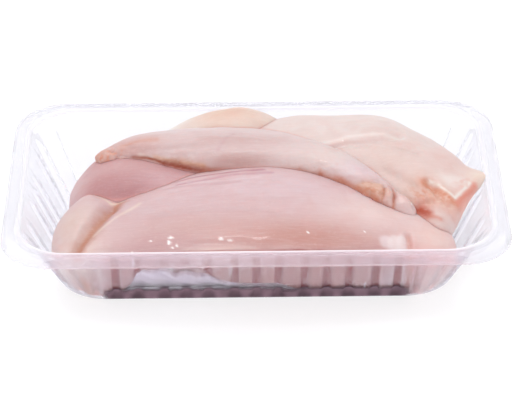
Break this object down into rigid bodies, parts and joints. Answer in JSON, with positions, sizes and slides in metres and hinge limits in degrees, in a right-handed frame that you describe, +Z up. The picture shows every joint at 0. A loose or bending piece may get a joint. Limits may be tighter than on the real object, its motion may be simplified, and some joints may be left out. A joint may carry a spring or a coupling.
{
  "type": "meat tray pack",
  "caption": "Open clear plastic tray with fluted sloping walls and a turned-down rim, holding raw poultry fillets piled on a white absorbent pad.",
  "frame": {"origin": "middle of the tray's underside, on the surface it rests on", "axes": "+X along the tray's length, +Y across it towards the long wall with the high fillet, +Z up"},
  "size_m": [0.23, 0.14, 0.0493],
  "materials": {
    "tray": "clear glossy thin plastic",
    "pad": "matt white absorbent paper and film",
    "fillet_front": "moist pale pink raw meat",
    "fillet_left": "moist dusty pink raw meat",
    "fillet_right": "moist pale beige-pink raw meat",
    "fillet_back": "moist cream to light orange raw meat",
    "fillet_top": "moist pale pink raw meat with an orange-brown edge"
  },
  "bodies": {
    "root": {"tray": "tray", "pad": "pad", "fillet_front": "fillet_front", "fillet_left": "fillet_left", "fillet_right": "fillet_right", "fillet_back": "fillet_back", "fillet_top": "fillet_top"}
  },
  "joints": []
}
